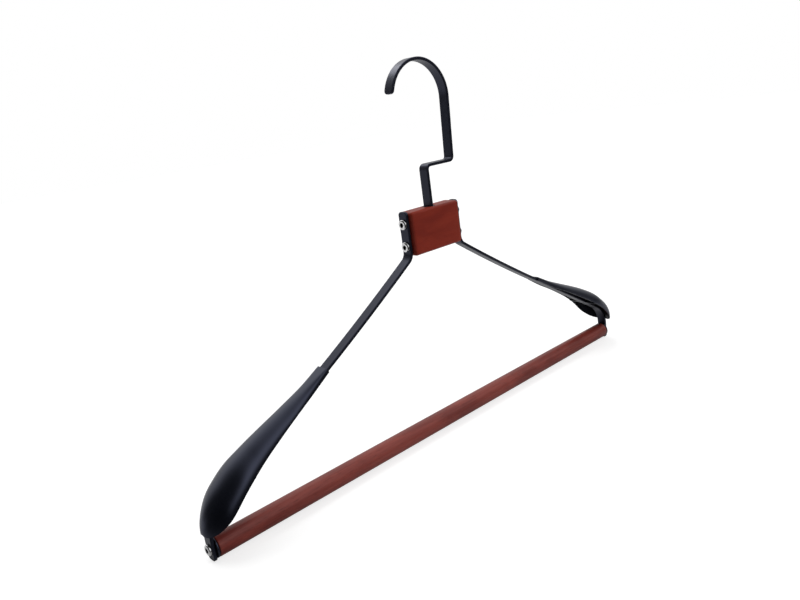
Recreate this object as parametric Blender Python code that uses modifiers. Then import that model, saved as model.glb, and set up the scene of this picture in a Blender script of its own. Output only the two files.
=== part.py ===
"""Coat hanger: flat steel hook, wooden centre block, bent strap arms, moulded shoulders, round bar.

Metres, +Z up. +X runs along the hanger and -Y is its front. The origin is the point
inside the top of the hook that rests on the rail, straight above the hook's shank.
"""
import math

import bmesh
import bpy
import numpy as np
from mathutils import Matrix, Vector

MM = 0.001
DEG = math.pi / 180.0

# Steel flat bar, shared by the hook and both arms
STOCK_WIDTH = 8.4 * MM
STOCK_THICKNESS = 2.3 * MM
STOCK_EDGE_RADIUS = 0.35 * MM
STOCK_END_RADIUS = 2.6 * MM

# Gaps
SEAT_GAP = 0.3 * MM
RUNNING_GAP = 0.3 * MM
CUT_OVERRUN = 3.0 * MM

# Hook
HOOK_INNER_RADIUS = 26.2 * MM
HOOK_SIDE_OFFSET = 2.4 * MM
HOOK_CENTRE_TO_JOG = 47.7 * MM
HOOK_STEM_HEIGHT = 30.0 * MM
HOOK_JOG_BEND = 3.2 * MM
HOOK_LEG_LEAN = 2.7 * DEG
HOOK_TIP_ANGLE = 168.5 * DEG
HOOK_HEAD_RADIUS = 4.55 * MM
HOOK_HEAD_HEIGHT = 3.5 * MM
HOOK_HEAD_SINK = 0.3 * MM
HOOK_STEM_SOCKET = 1.2 * MM
HOOK_SHANK_RADIUS = 2.0 * MM
HOOK_SHANK_TAIL = 0.8 * MM

# Washer and lock nut under the block
WASHER_RADIUS = 4.3 * MM
WASHER_THICKNESS = 0.8 * MM
NUT_ACROSS_FLATS = 7.0 * MM
NUT_HEIGHT = 4.2 * MM

# Wooden centre block
BLOCK_LENGTH = 50.0 * MM
BLOCK_HEIGHT = 32.5 * MM
BLOCK_THICKNESS = 14.4 * MM
BLOCK_EDGE_RADIUS = 2.3 * MM
BLOCK_FLOOR_TO_WASHER = 8.0 * MM
UPPER_SCREW_DROP = 8.5 * MM
LOWER_SCREW_RISE = 7.3 * MM

# Arms
SPAN = 444.6 * MM
STRAP_RISE = 0.8 * MM
ARM_CORNER_DROP = 0.9 * MM
ARM_TOP_BEND = 8.0 * MM
ARM_TOP_SLOPE = 33.3 * DEG
ARM_SLOPE = 30.0 * DEG
ARM_BOW_LENGTH = 105.0 * MM
ARM_END_BEND = 25.0 * MM
ARM_END_TO_BAR = 20.7 * MM
TAB_REACH = 7.7 * MM

# Trouser bar and its end caps
BAR_RADIUS = 7.0 * MM
BAR_CHAMFER = 0.5 * MM
CAP_THICKNESS = 1.2 * MM
CAP_CHAMFER = 0.35 * MM

# Shoulder shells
SHELL_START = 116.9 * MM
SHELL_OVERHANG = 2.4 * MM
SHELL_HALF_WIDTH = 16.0 * MM
SHELL_HEIGHT = 11.4 * MM
SHELL_SKIRT = 11.1 * MM
SHELL_TOE_RISE = 4.5 * MM
SHELL_COLLAR_WALL = 0.95 * MM
SHELL_WALL = 0.9 * MM
SHELL_RIB_THICKNESS = 1.6 * MM

# Where the shell's sections lie, as shares of its length, and what they measure there.
# Widths, crowns and skirts are shares of SHELL_HALF_WIDTH, SHELL_HEIGHT and SHELL_SKIRT.
STATION_SHARES = (0.0, 0.15, 0.30, 0.45, 0.60, 0.75, 0.88, 1.0)
WIDTH_SHARES = (0.0, 0.415, 0.57, 0.69, 0.83, 1.0, 0.97, 0.67)
CROWN_SHARES = (0.0, 0.32, 0.52, 0.73, 0.90, 0.98, 0.83, 0.66)
SKIRT_SHARES = (0.09, 0.11, 0.02, -0.01, 0.0, 0.15, 0.62, 1.0)
ROUND_SHARES = (0.24, 0.70, 1.0, 1.0, 1.0, 1.0, 1.0, 1.0)
TIP_SHARE = 0.85
TIP_CURVE_SHARE = 2.1
TOE_SHARE = 0.915
UPRIGHT_SHARE = 0.30
FULLNESS_SHARE = 0.9
RIB_SHARE = 0.66
RIB_FIT_SHARE = 0.5

# Button-head socket screws and their threaded inserts
SCREW_HEAD_RADIUS = 3.8 * MM
SCREW_HEAD_HEIGHT = 1.5 * MM
SCREW_RIM_HEIGHT = 0.5 * MM
SCREW_CROWN_RADIUS = 2.5 * MM
SCREW_SHANK_RADIUS = 2.0 * MM
SCREW_LENGTH = 14.0 * MM
SCREW_POINT = 0.5 * MM
SOCKET_ACROSS_FLATS = 2.5 * MM
SOCKET_DEPTH = 1.6 * MM
INSERT_RADIUS = 3.0 * MM
INSERT_LENGTH = 10.0 * MM

# How round things are divided, shaded and welded
WELD_DISTANCE = 0.005 * MM
SMOOTH_ANGLE = 32.0 * DEG
SHELL_SMOOTH_ANGLE = 40.0 * DEG
ROUND_END_START = 6.0 * DEG
HEX_SIDES = 6
BLOCK_EDGE_STEPS = 4
ROUND_SIDES = 24
BAR_SIDES = 40
ARC_STEP = 7.0 * DEG
BOW_STEPS = 8
TIP_STEPS = 14
SCREW_CROWN_STEPS = 4
SHELL_LENGTH_STEPS = 24
SHELL_TIP_STEPS = 9
SHELL_ACROSS_STEPS = 14

# Places worked out from the sizes above
STOCK_HALF = STOCK_THICKNESS / 2
HOLE_RADIUS = SCREW_SHANK_RADIUS + RUNNING_GAP
HOOK_MEAN_RADIUS = HOOK_INNER_RADIUS + STOCK_HALF
HOOK_CENTRE_Z = -math.sqrt(HOOK_INNER_RADIUS ** 2 - HOOK_SIDE_OFFSET ** 2)
JOG_Z = HOOK_CENTRE_Z - HOOK_CENTRE_TO_JOG
BLOCK_TOP_Z = JOG_Z - HOOK_STEM_HEIGHT
BLOCK_Z = BLOCK_TOP_Z - BLOCK_HEIGHT / 2
BLOCK_BASE_Z = BLOCK_TOP_Z - BLOCK_HEIGHT
STRAP_X = BLOCK_LENGTH / 2 + SEAT_GAP + STOCK_HALF
STRAP_TOP_Z = BLOCK_TOP_Z + STRAP_RISE
TAB_X = SPAN / 2 - STOCK_HALF
CAP_X = SPAN / 2 - STOCK_THICKNESS - SEAT_GAP
BAR_END_X = CAP_X - CAP_THICKNESS - SEAT_GAP
COUNTERBORE_Z = BLOCK_BASE_Z + BLOCK_FLOOR_TO_WASHER
SCREW_ZS = (BLOCK_TOP_Z - UPPER_SCREW_DROP, BLOCK_BASE_Z + LOWER_SCREW_RISE)

# The arm's centre line: its top corner, the hollow run below it, and the straight run to the bar
ARM_CORNER_Z = BLOCK_BASE_Z - ARM_CORNER_DROP
BOW_RADIUS = ARM_BOW_LENGTH / (ARM_TOP_SLOPE - ARM_SLOPE)
BOW_END_X = STRAP_X + BOW_RADIUS * (math.sin(ARM_TOP_SLOPE) - math.sin(ARM_SLOPE))
BOW_END_Z = ARM_CORNER_Z + BOW_RADIUS * (math.cos(ARM_TOP_SLOPE) - math.cos(ARM_SLOPE))
ELBOW_Z = BOW_END_Z - (TAB_X - BOW_END_X) * math.tan(ARM_SLOPE)
BAR_Z = ELBOW_Z - ARM_END_TO_BAR
SIDES = {"left": -1, "right": 1}


# Scene, collections and materials

def clear_scene():
    """Remove every object and collection that the file opened with."""
    for obj in list(bpy.data.objects):
        bpy.data.objects.remove(obj, do_unlink=True)
    for collection in list(bpy.data.collections):
        bpy.data.collections.remove(collection)


def new_collection(name):
    collection = bpy.data.collections.new(name)
    bpy.context.scene.collection.children.link(collection)
    return collection


def new_material(name, colour, roughness, metallic):
    material = bpy.data.materials.new(name)
    material.use_nodes = True
    shader = material.node_tree.nodes["Principled BSDF"]
    shader.inputs["Base Color"].default_value = (*colour, 1.0)
    shader.inputs["Roughness"].default_value = roughness
    shader.inputs["Metallic"].default_value = metallic
    return material


def make_materials():
    return {
        "black_coat": new_material("black_coat", (0.018, 0.019, 0.024), 0.42, 0.0),
        "black_plastic": new_material("black_plastic", (0.016, 0.017, 0.022), 0.48, 0.0),
        "mahogany": new_material("mahogany", (0.135, 0.022, 0.014), 0.38, 0.0),
        "mahogany_bar": new_material("mahogany_bar", (0.150, 0.030, 0.022), 0.36, 0.0),
        "bright_steel": new_material("bright_steel", (0.80, 0.80, 0.82), 0.14, 1.0),
        "zinc_steel": new_material("zinc_steel", (0.55, 0.56, 0.58), 0.35, 1.0),
        "brass": new_material("brass", (0.72, 0.52, 0.22), 0.32, 1.0),
    }


# Mesh helpers

def add_object(name, mesh, collection, material=None):
    obj = bpy.data.objects.new(name, mesh)
    collection.objects.link(obj)
    if material is not None:
        mesh.materials.clear()
        mesh.materials.append(material)
    return obj


def evaluated_mesh(obj, name):
    """The object's mesh after its modifiers, with loose caps welded."""
    graph = bpy.context.evaluated_depsgraph_get()
    mesh = bpy.data.meshes.new_from_object(obj.evaluated_get(graph))
    mesh.name = name
    work = bmesh.new()
    work.from_mesh(mesh)
    bmesh.ops.remove_doubles(work, verts=work.verts, dist=WELD_DISTANCE)
    bmesh.ops.recalc_face_normals(work, faces=work.faces)
    work.to_mesh(mesh)
    work.free()
    return mesh


def bake(obj, collection, material):
    """Swap an object for one that holds its evaluated mesh, at the same place."""
    name = obj.name
    place = obj.matrix_world.copy()
    mesh = evaluated_mesh(obj, name)
    bpy.data.objects.remove(obj, do_unlink=True)
    made = add_object(name, mesh, collection, material)
    made.matrix_world = place
    return made


def smooth(obj, angle=SMOOTH_ANGLE):
    obj.data.shade_smooth()
    obj.data.set_sharp_from_angle(angle=angle)


def as_cutter(obj):
    obj.hide_render = True
    obj.display_type = "WIRE"
    return obj


def boolean(obj, other, operation):
    modifier = obj.modifiers.new(other.name, "BOOLEAN")
    modifier.operation = operation
    modifier.solver = "EXACT"
    modifier.object = other


def cylinder(name, radius, start, end, collection, sides=ROUND_SIDES):
    """A closed cylinder from one point to another."""
    start = Vector(start)
    axis = Vector(end) - start
    work = bmesh.new()
    bmesh.ops.create_cone(work, cap_ends=True, segments=sides, radius1=radius, radius2=radius,
                          depth=axis.length)
    mesh = bpy.data.meshes.new(name)
    work.to_mesh(mesh)
    work.free()
    obj = add_object(name, mesh, collection)
    turn = axis.to_track_quat("Z", "Y").to_matrix().to_4x4()
    obj.matrix_world = Matrix.Translation(start + axis / 2) @ turn
    return obj


def turned(name, profile, closed, sides, collection):
    """A profile of (radius, height) points turned about Z with a Screw modifier."""
    points = [(radius, 0, height) for radius, height in profile]
    edges = [(i, i + 1) for i in range(len(points) - 1)]
    if closed:
        edges.append((len(points) - 1, 0))
    mesh = bpy.data.meshes.new(name)
    mesh.from_pydata(points, edges, [])
    obj = add_object(name, mesh, collection)
    screw = obj.modifiers.new("Turn", "SCREW")
    screw.axis = "Z"
    screw.angle = 2 * math.pi
    screw.steps = sides
    screw.render_steps = sides
    screw.use_merge_vertices = True
    screw.merge_threshold = WELD_DISTANCE
    screw.use_smooth_shade = True
    return obj


# Flat bar bent along a path in the XZ plane

def arc_points(centre, radius, start, end):
    """Points on a circle in the XZ plane, from one angle to another, both included."""
    steps = max(2, math.ceil(abs(end - start) / ARC_STEP))
    angles = np.linspace(start, end, steps + 1)
    return [(centre[0] + radius * math.cos(a), centre[1] + radius * math.sin(a)) for a in angles]


def rounded_corner(before, corner, after, radius):
    """The arc that rounds a corner between two straight runs."""
    corner = Vector(corner)
    back = (Vector(before) - corner).normalized()
    ahead = (Vector(after) - corner).normalized()
    half = back.angle(ahead) / 2
    inward = (back + ahead).normalized()
    centre = corner + inward * (radius / math.sin(half))
    first = corner + back * (radius / math.tan(half)) - centre
    turn = first.angle_signed(corner + ahead * (radius / math.tan(half)) - centre)
    start = math.atan2(first.y, first.x)
    return arc_points(centre, radius, start, start - turn)


def flat_bar(name, path, collection, material):
    """The stock's section, with eased edges, swept along a path of (x, z) points."""
    half_w = STOCK_WIDTH / 2
    ease = STOCK_EDGE_RADIUS
    section = []
    for sx, sy in ((1, -1), (1, 1), (-1, 1), (-1, -1)):
        first = (sx * STOCK_HALF, sy * (half_w - ease))
        second = (sx * (STOCK_HALF - ease), sy * half_w)
        section += [first, second] if sx * sy > 0 else [second, first]
    outline = bpy.data.curves.new(name + "_section", "CURVE")
    spline = outline.splines.new("POLY")
    spline.points.add(len(section) - 1)
    for point, (x, y) in zip(spline.points, section):
        point.co = (x, y, 0, 1)
    spline.use_cyclic_u = True
    section_obj = bpy.data.objects.new(name + "_section", outline)
    collection.objects.link(section_obj)

    curve = bpy.data.curves.new(name, "CURVE")
    curve.dimensions = "2D"
    curve.fill_mode = "NONE"
    curve.bevel_mode = "OBJECT"
    curve.bevel_object = section_obj
    curve.use_fill_caps = True
    run = curve.splines.new("POLY")
    run.points.add(len(path) - 1)
    for point, (x, z) in zip(run.points, path):
        point.co = (x, z, 0, 1)
    swept = bpy.data.objects.new(name, curve)
    collection.objects.link(swept)
    swept.rotation_euler = (math.pi / 2, 0, 0)
    bpy.context.view_layer.update()
    bar = bake(swept, collection, material)
    bpy.data.objects.remove(section_obj, do_unlink=True)
    return bar


def end_rounder(name, end, outward, thickness_axis, cutters):
    """A cutter that rounds both corners of a flat bar's square end."""
    radius = STOCK_END_RADIUS
    flat = STOCK_WIDTH / 2 - radius
    quarter = np.linspace(ROUND_END_START, math.pi / 2, TIP_STEPS // 2 + 1)
    notch = [(flat + radius * math.cos(a), radius * math.sin(a)) for a in quarter]
    notch += [(-x, y) for x, y in reversed(notch)]
    far = STOCK_WIDTH / 2 + CUT_OVERRUN
    outline = [(far, notch[0][1]), *notch, (-far, notch[-1][1]), (-far, far), (far, far)]
    curve = bpy.data.curves.new(name, "CURVE")
    curve.dimensions = "2D"
    curve.fill_mode = "BOTH"
    curve.extrude = STOCK_THICKNESS
    spline = curve.splines.new("POLY")
    spline.points.add(len(outline) - 1)
    for point, (x, y) in zip(spline.points, outline):
        point.co = (x, y, 0, 1)
    spline.use_cyclic_u = True
    obj = bpy.data.objects.new(name, curve)
    cutters.objects.link(obj)
    up = Vector(outward).normalized()
    depth = Vector(thickness_axis).normalized()
    turn = Matrix((up.cross(depth), up, depth)).transposed().to_4x4()
    obj.matrix_world = Matrix.Translation(Vector(end) - up * radius) @ turn
    bpy.context.view_layer.update()
    return as_cutter(bake(obj, cutters, None))


# Hook

def hook_path():
    """From the tip, over the arc, down the leaning leg, along the jog and down the stem."""
    centre = (HOOK_SIDE_OFFSET, HOOK_CENTRE_Z)
    path = arc_points(centre, HOOK_MEAN_RADIUS, HOOK_TIP_ANGLE, -HOOK_LEG_LEAN)
    leg_top = path[-1]
    jog_x = leg_top[0] - math.tan(HOOK_LEG_LEAN) * (leg_top[1] - JOG_Z)
    outer = (jog_x, JOG_Z)
    inner = (0, JOG_Z)
    stem_end = (0, BLOCK_TOP_Z - HOOK_HEAD_SINK - HOOK_STEM_SOCKET)
    path += rounded_corner(leg_top, outer, inner, HOOK_JOG_BEND)
    path += rounded_corner(outer, inner, stem_end, HOOK_JOG_BEND)
    return path + [stem_end]


def make_hook(parts, cutters, materials):
    bar = flat_bar("hook", hook_path(), parts, materials["black_coat"])
    outward = Vector((-math.sin(HOOK_TIP_ANGLE), 0, math.cos(HOOK_TIP_ANGLE)))
    tip = Vector((HOOK_SIDE_OFFSET, 0, HOOK_CENTRE_Z))
    tip += HOOK_MEAN_RADIUS * Vector((math.cos(HOOK_TIP_ANGLE), 0, math.sin(HOOK_TIP_ANGLE)))
    across = Vector((math.cos(HOOK_TIP_ANGLE), 0, math.sin(HOOK_TIP_ANGLE)))
    boolean(bar, end_rounder("hook_tip_cutter", tip, outward, across, cutters), "DIFFERENCE")
    head_top = BLOCK_TOP_Z - HOOK_HEAD_SINK
    head_base = head_top - HOOK_HEAD_HEIGHT
    tail = nut_base_z() - HOOK_SHANK_TAIL
    profile = [(0, head_top), (HOOK_HEAD_RADIUS, head_top), (HOOK_HEAD_RADIUS, head_base),
               (HOOK_SHANK_RADIUS, head_base), (HOOK_SHANK_RADIUS, tail), (0, tail)]
    shank = bake(turned("hook_shank", profile, False, ROUND_SIDES, cutters), cutters, None)
    boolean(bar, as_cutter(shank), "UNION")
    hook = bake(bar, parts, materials["black_coat"])
    smooth(hook)
    return hook


def washer_top_z():
    return COUNTERBORE_Z - SEAT_GAP


def nut_top_z():
    return washer_top_z() - WASHER_THICKNESS - SEAT_GAP


def nut_base_z():
    return nut_top_z() - NUT_HEIGHT


def make_washer(parts, materials):
    bore = HOOK_SHANK_RADIUS + SEAT_GAP
    top = washer_top_z()
    base = top - WASHER_THICKNESS
    profile = [(WASHER_RADIUS, top), (WASHER_RADIUS, base), (bore, base), (bore, top)]
    washer = bake(turned("hook_washer", profile, True, ROUND_SIDES, parts), parts, materials["zinc_steel"])
    smooth(washer)


def make_lock_nut(parts, cutters, materials):
    corner = NUT_ACROSS_FLATS / math.sqrt(3)
    top = nut_top_z()
    base = nut_base_z()
    nut = cylinder("hook_lock_nut", corner, (0, 0, base), (0, 0, top), parts, sides=HEX_SIDES)
    bore = cylinder("nut_bore_cutter", HOOK_SHANK_RADIUS + SEAT_GAP, (0, 0, base - CUT_OVERRUN),
                    (0, 0, top + CUT_OVERRUN), cutters)
    boolean(nut, as_cutter(bore), "DIFFERENCE")
    bpy.context.view_layer.update()
    smooth(bake(nut, parts, materials["zinc_steel"]))


# Centre block

def make_block(parts, cutters, materials):
    bpy.ops.mesh.primitive_cube_add(size=1, location=(0, 0, BLOCK_Z))
    block = bpy.context.object
    block.name = "centre_block"
    block.scale = (BLOCK_LENGTH, BLOCK_THICKNESS, BLOCK_HEIGHT)
    bpy.ops.object.transform_apply(location=False, rotation=False, scale=True)
    for collection in list(block.users_collection):
        collection.objects.unlink(block)
    parts.objects.link(block)
    bevel = block.modifiers.new("Rounded edges", "BEVEL")
    bevel.width = BLOCK_EDGE_RADIUS
    bevel.segments = BLOCK_EDGE_STEPS
    bevel.limit_method = "NONE"

    recess = cylinder("hook_recess_cutter", HOOK_HEAD_RADIUS + RUNNING_GAP,
                      (0, 0, BLOCK_TOP_Z - HOOK_HEAD_SINK - HOOK_HEAD_HEIGHT - RUNNING_GAP),
                      (0, 0, BLOCK_TOP_Z + CUT_OVERRUN), cutters)
    bore = cylinder("hook_bore_cutter", HOOK_SHANK_RADIUS + RUNNING_GAP,
                    (0, 0, BLOCK_BASE_Z - CUT_OVERRUN), (0, 0, BLOCK_TOP_Z), cutters)
    counterbore = cylinder("hook_counterbore_cutter", WASHER_RADIUS + RUNNING_GAP,
                           (0, 0, BLOCK_BASE_Z - CUT_OVERRUN), (0, 0, COUNTERBORE_Z), cutters)
    for cutter in (recess, bore, counterbore):
        boolean(block, as_cutter(cutter), "DIFFERENCE")
    depth = SEAT_GAP + INSERT_LENGTH + insert_tail()
    for side in SIDES.values():
        face = side * BLOCK_LENGTH / 2
        for index, z in enumerate(SCREW_ZS):
            pocket = cylinder(f"insert_pocket_{side}_{index}", INSERT_RADIUS + SEAT_GAP,
                              (face + side * CUT_OVERRUN, 0, z), (face - side * depth, 0, z), cutters)
            boolean(block, as_cutter(pocket), "DIFFERENCE")
    bpy.context.view_layer.update()
    smooth(bake(block, parts, materials["mahogany"]))


def insert_tail():
    """How far a pocket runs on past its insert, for the screw's point."""
    into_wood = SCREW_LENGTH - STOCK_THICKNESS - 2 * SEAT_GAP
    return max(0, into_wood - INSERT_LENGTH - SEAT_GAP) + SEAT_GAP


# Arms

def bow_points():
    """The slightly hollow run of the arm, from its top corner to where it goes straight."""
    slopes = np.linspace(ARM_TOP_SLOPE, ARM_SLOPE, BOW_STEPS + 1)
    x = STRAP_X + BOW_RADIUS * (math.sin(ARM_TOP_SLOPE) - np.sin(slopes))
    z = ARM_CORNER_Z + BOW_RADIUS * (math.cos(ARM_TOP_SLOPE) - np.cos(slopes))
    return [Vector(point) for point in zip(x, z)]


def arm_height(x):
    """Height of the arm's centre line at x along its straight run, which goes on past its end."""
    return BOW_END_Z - (x - BOW_END_X) * math.tan(ARM_SLOPE)


def arm_path(side):
    bow = bow_points()
    top = Vector((STRAP_X, STRAP_TOP_Z))
    elbow = Vector((TAB_X, ELBOW_Z))
    tab_end = Vector((TAB_X, BAR_Z - TAB_REACH))
    first_bend = rounded_corner(top, bow[0], bow[1], ARM_TOP_BEND)
    bow = [point for point in bow[1:] if point.x > first_bend[-1][0]]
    path = [tuple(top), *first_bend, *[tuple(point) for point in bow]]
    path += rounded_corner(bow[-1], elbow, tab_end, ARM_END_BEND)
    path.append(tuple(tab_end))
    return [(side * x, z) for x, z in path]


def make_arm(label, side, parts, cutters, materials):
    strap = flat_bar(f"{label}_arm_strap", arm_path(side), parts, materials["black_coat"])
    ends = {"top": ((side * STRAP_X, 0, STRAP_TOP_Z), (0, 0, 1)),
            "tab": ((side * TAB_X, 0, BAR_Z - TAB_REACH), (0, 0, -1))}
    for end, (place, outward) in ends.items():
        cutter = end_rounder(f"{label}_{end}_rounder", place, outward, (1, 0, 0), cutters)
        boolean(strap, cutter, "DIFFERENCE")
    holes = [(side * STRAP_X, z) for z in SCREW_ZS] + [(side * TAB_X, BAR_Z)]
    for index, (x, z) in enumerate(holes):
        hole = cylinder(f"{label}_strap_hole_{index}", HOLE_RADIUS, (x - CUT_OVERRUN, 0, z),
                        (x + CUT_OVERRUN, 0, z), cutters)
        boolean(strap, as_cutter(hole), "DIFFERENCE")
    bpy.context.view_layer.update()
    smooth(bake(strap, parts, materials["black_coat"]))


# Shoulder shells

def through(stations, values, u):
    """A smooth curve through (station, value) pairs, with slopes taken from the neighbours."""
    stations = np.asarray(stations, float)
    values = np.asarray(values, float)
    slopes = np.gradient(values, stations)
    i = np.clip(np.searchsorted(stations, u, side="right") - 1, 0, len(stations) - 2)
    width = stations[i + 1] - stations[i]
    t = (u - stations[i]) / width
    return ((1 + 2 * t) * (1 - t) ** 2 * values[i] + t * (1 - t) ** 2 * width * slopes[i]
            + t * t * (3 - 2 * t) * values[i + 1] + t * t * (t - 1) * width * slopes[i + 1])


def shell_sizes(u):
    """Half width, crown height and rim height of the shell's outer surface at share u.

    The rim hangs below the arm by the skirt, and rises in a quarter round at the toe.
    """
    half_widths = [SHELL_HALF_WIDTH * share for share in WIDTH_SHARES]
    crowns = [SHELL_HEIGHT * share for share in CROWN_SHARES]
    skirts = [SHELL_SKIRT * share for share in SKIRT_SHARES]
    half_widths[0] = STOCK_WIDTH / 2 + SEAT_GAP + SHELL_COLLAR_WALL
    crowns[0] = STOCK_HALF + SEAT_GAP + SHELL_COLLAR_WALL
    past = np.clip((u - TIP_SHARE) / (1 - TIP_SHARE), 0, 1)
    closing = (1 - past ** TIP_CURVE_SHARE) ** (1 / TIP_CURVE_SHARE)
    half_width = through(STATION_SHARES, half_widths, u) * closing
    skirt = through(STATION_SHARES, skirts, u)
    toe = np.clip((u - TOE_SHARE) / (1 - TOE_SHARE), 0, 1)
    rim = SHELL_TOE_RISE * (1 - math.sqrt(1 - toe * toe)) - skirt
    nose = SHELL_TOE_RISE - skirt
    crown = (through(STATION_SHARES, crowns, u) - nose) * closing + nose
    return half_width, crown, rim


def shell_section(u, side, steps):
    """One row of points across the shell at share u, from its front rim to its back rim."""
    half_width, crown, rim = shell_sizes(u)
    x = SHELL_START + (SPAN / 2 + SHELL_OVERHANG - SHELL_START) * u
    ease = np.clip((u - UPRIGHT_SHARE) / (1 - UPRIGHT_SHARE), 0, 1)
    upright = ease * ease * (3 - 2 * ease)
    lean = ARM_SLOPE * (1 - upright)
    angles = np.linspace(0, math.pi, steps + 1)
    power = through(STATION_SHARES, ROUND_SHARES, u)
    reach = np.cos(angles)
    height = rim + (crown - rim) * np.abs(np.sin(angles)) ** (power * FULLNESS_SHARE)
    return np.stack([side * (x + math.sin(lean) * height),
                     -half_width * np.sign(reach) * np.abs(reach) ** power,
                     arm_height(x) + math.cos(lean) * height], axis=1)


def shell_stations():
    """Shares along the shell, evenly spaced at first and closer towards the tip."""
    body = np.linspace(0, TIP_SHARE, SHELL_LENGTH_STEPS - SHELL_TIP_STEPS, endpoint=False)
    tip = TIP_SHARE + (1 - TIP_SHARE) * np.sin(np.linspace(0, math.pi / 2, SHELL_TIP_STEPS + 1))
    return np.concatenate([body, tip])


def make_rib(label, side, cutters):
    """A cross wall inside the shell, with a slot that the strap snaps into."""
    section = shell_section(RIB_SHARE, side, SHELL_ACROSS_STEPS)
    middle = np.array([section[:, 0].mean(), 0, arm_height(abs(section[:, 0].mean()))])
    along = np.array([side * math.cos(ARM_SLOPE), 0, -math.sin(ARM_SLOPE)])
    up = np.array([side * math.sin(ARM_SLOPE), 0, math.cos(ARM_SLOPE)])
    across = (section - middle)[:, 1]
    height = (section - middle) @ up
    inset = SHELL_WALL * RIB_FIT_SHARE
    shrink = 1 - inset / across.max()
    slot = STOCK_WIDTH / 2 + SEAT_GAP
    slot_top = STOCK_HALF + SEAT_GAP
    foot = -STOCK_HALF
    outline = [(a * shrink, max(h - inset, foot)) for a, h in zip(across, height)]
    outline[0] = (outline[0][0], foot)
    outline[-1] = (outline[-1][0], foot)
    outline += [(slot, foot), (slot, slot_top), (-slot, slot_top), (-slot, foot)]
    count = len(outline)
    points = []
    for reach in (-SHELL_RIB_THICKNESS / 2, SHELL_RIB_THICKNESS / 2):
        for a, h in outline:
            points.append(middle + along * reach + np.array([0, a, 0]) + up * h)
    faces = [tuple(range(count)), tuple(range(2 * count - 1, count - 1, -1))]
    faces += [(i, i + count, (i + 1) % count + count, (i + 1) % count) for i in range(count)]
    mesh = bpy.data.meshes.new(f"{label}_shell_rib")
    mesh.from_pydata([tuple(point) for point in points], [], faces)
    work = bmesh.new()
    work.from_mesh(mesh)
    bmesh.ops.recalc_face_normals(work, faces=work.faces)
    work.to_mesh(mesh)
    work.free()
    return as_cutter(add_object(f"{label}_shell_rib", mesh, cutters))


def make_shell(label, side, parts, cutters, materials):
    """An open loft of arched sections, given its wall with Solidify."""
    rows = [shell_section(u, side, SHELL_ACROSS_STEPS) for u in shell_stations()]
    points = np.concatenate(rows)
    count = SHELL_ACROSS_STEPS + 1
    faces = []
    for i in range(len(rows) - 1):
        for j in range(SHELL_ACROSS_STEPS):
            a = i * count + j
            faces.append((a, a + 1, a + count + 1, a + count))
    mesh = bpy.data.meshes.new(f"{label}_shoulder_shell")
    mesh.from_pydata([tuple(point) for point in points], [], faces)
    work = bmesh.new()
    work.from_mesh(mesh)
    bmesh.ops.remove_doubles(work, verts=work.verts, dist=WELD_DISTANCE)
    bmesh.ops.dissolve_degenerate(work, edges=work.edges, dist=WELD_DISTANCE)
    bmesh.ops.recalc_face_normals(work, faces=work.faces)
    top = max(work.faces, key=lambda face: face.calc_center_median().z)
    if top.normal.z < 0:
        bmesh.ops.reverse_faces(work, faces=work.faces)
    work.to_mesh(mesh)
    work.free()
    shell = add_object(f"{label}_shoulder_shell", mesh, parts)
    wall = shell.modifiers.new("Wall", "SOLIDIFY")
    wall.thickness = SHELL_WALL
    wall.offset = -1
    wall.use_even_offset = False
    boolean(shell, make_rib(label, side, cutters), "UNION")
    bpy.context.view_layer.update()
    smooth(bake(shell, parts, materials["black_plastic"]), SHELL_SMOOTH_ANGLE)


# Trouser bar

def make_bar(parts, cutters, materials):
    profile = [(0, BAR_END_X), (BAR_RADIUS - BAR_CHAMFER, BAR_END_X), (BAR_RADIUS, BAR_END_X - BAR_CHAMFER),
               (BAR_RADIUS, BAR_CHAMFER - BAR_END_X), (BAR_RADIUS - BAR_CHAMFER, -BAR_END_X), (0, -BAR_END_X)]
    bar = turned("trouser_bar", profile, False, BAR_SIDES, parts)
    bar.matrix_world = Matrix.Translation((0, 0, BAR_Z)) @ Matrix.Rotation(math.pi / 2, 4, "Y")
    depth = SEAT_GAP + INSERT_LENGTH + insert_tail()
    for label, side in SIDES.items():
        pocket = cylinder(f"{label}_bar_pocket", INSERT_RADIUS + SEAT_GAP,
                          (side * (BAR_END_X + CUT_OVERRUN), 0, BAR_Z),
                          (side * (BAR_END_X - depth), 0, BAR_Z), cutters)
        boolean(bar, as_cutter(pocket), "DIFFERENCE")
    bpy.context.view_layer.update()
    smooth(bake(bar, parts, materials["mahogany_bar"]))


def outward_turn(side):
    """Turns a piece that was modelled along +Z so that it points out of the hanger's end."""
    return Matrix.Rotation(side * math.pi / 2, 4, "Y")


def make_cap(label, side, parts, materials):
    bore = HOLE_RADIUS
    half = CAP_THICKNESS / 2
    profile = [(BAR_RADIUS - CAP_CHAMFER, half), (BAR_RADIUS, half - CAP_CHAMFER),
               (BAR_RADIUS, CAP_CHAMFER - half), (BAR_RADIUS - CAP_CHAMFER, -half),
               (bore, -half), (bore, half)]
    cap = turned(f"{label}_bar_cap", profile, True, BAR_SIDES, parts)
    cap.matrix_world = Matrix.Translation((side * (CAP_X - half), 0, BAR_Z)) @ outward_turn(side)
    bpy.context.view_layer.update()
    smooth(bake(cap, parts, materials["black_plastic"]))


# Screws and inserts

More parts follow.
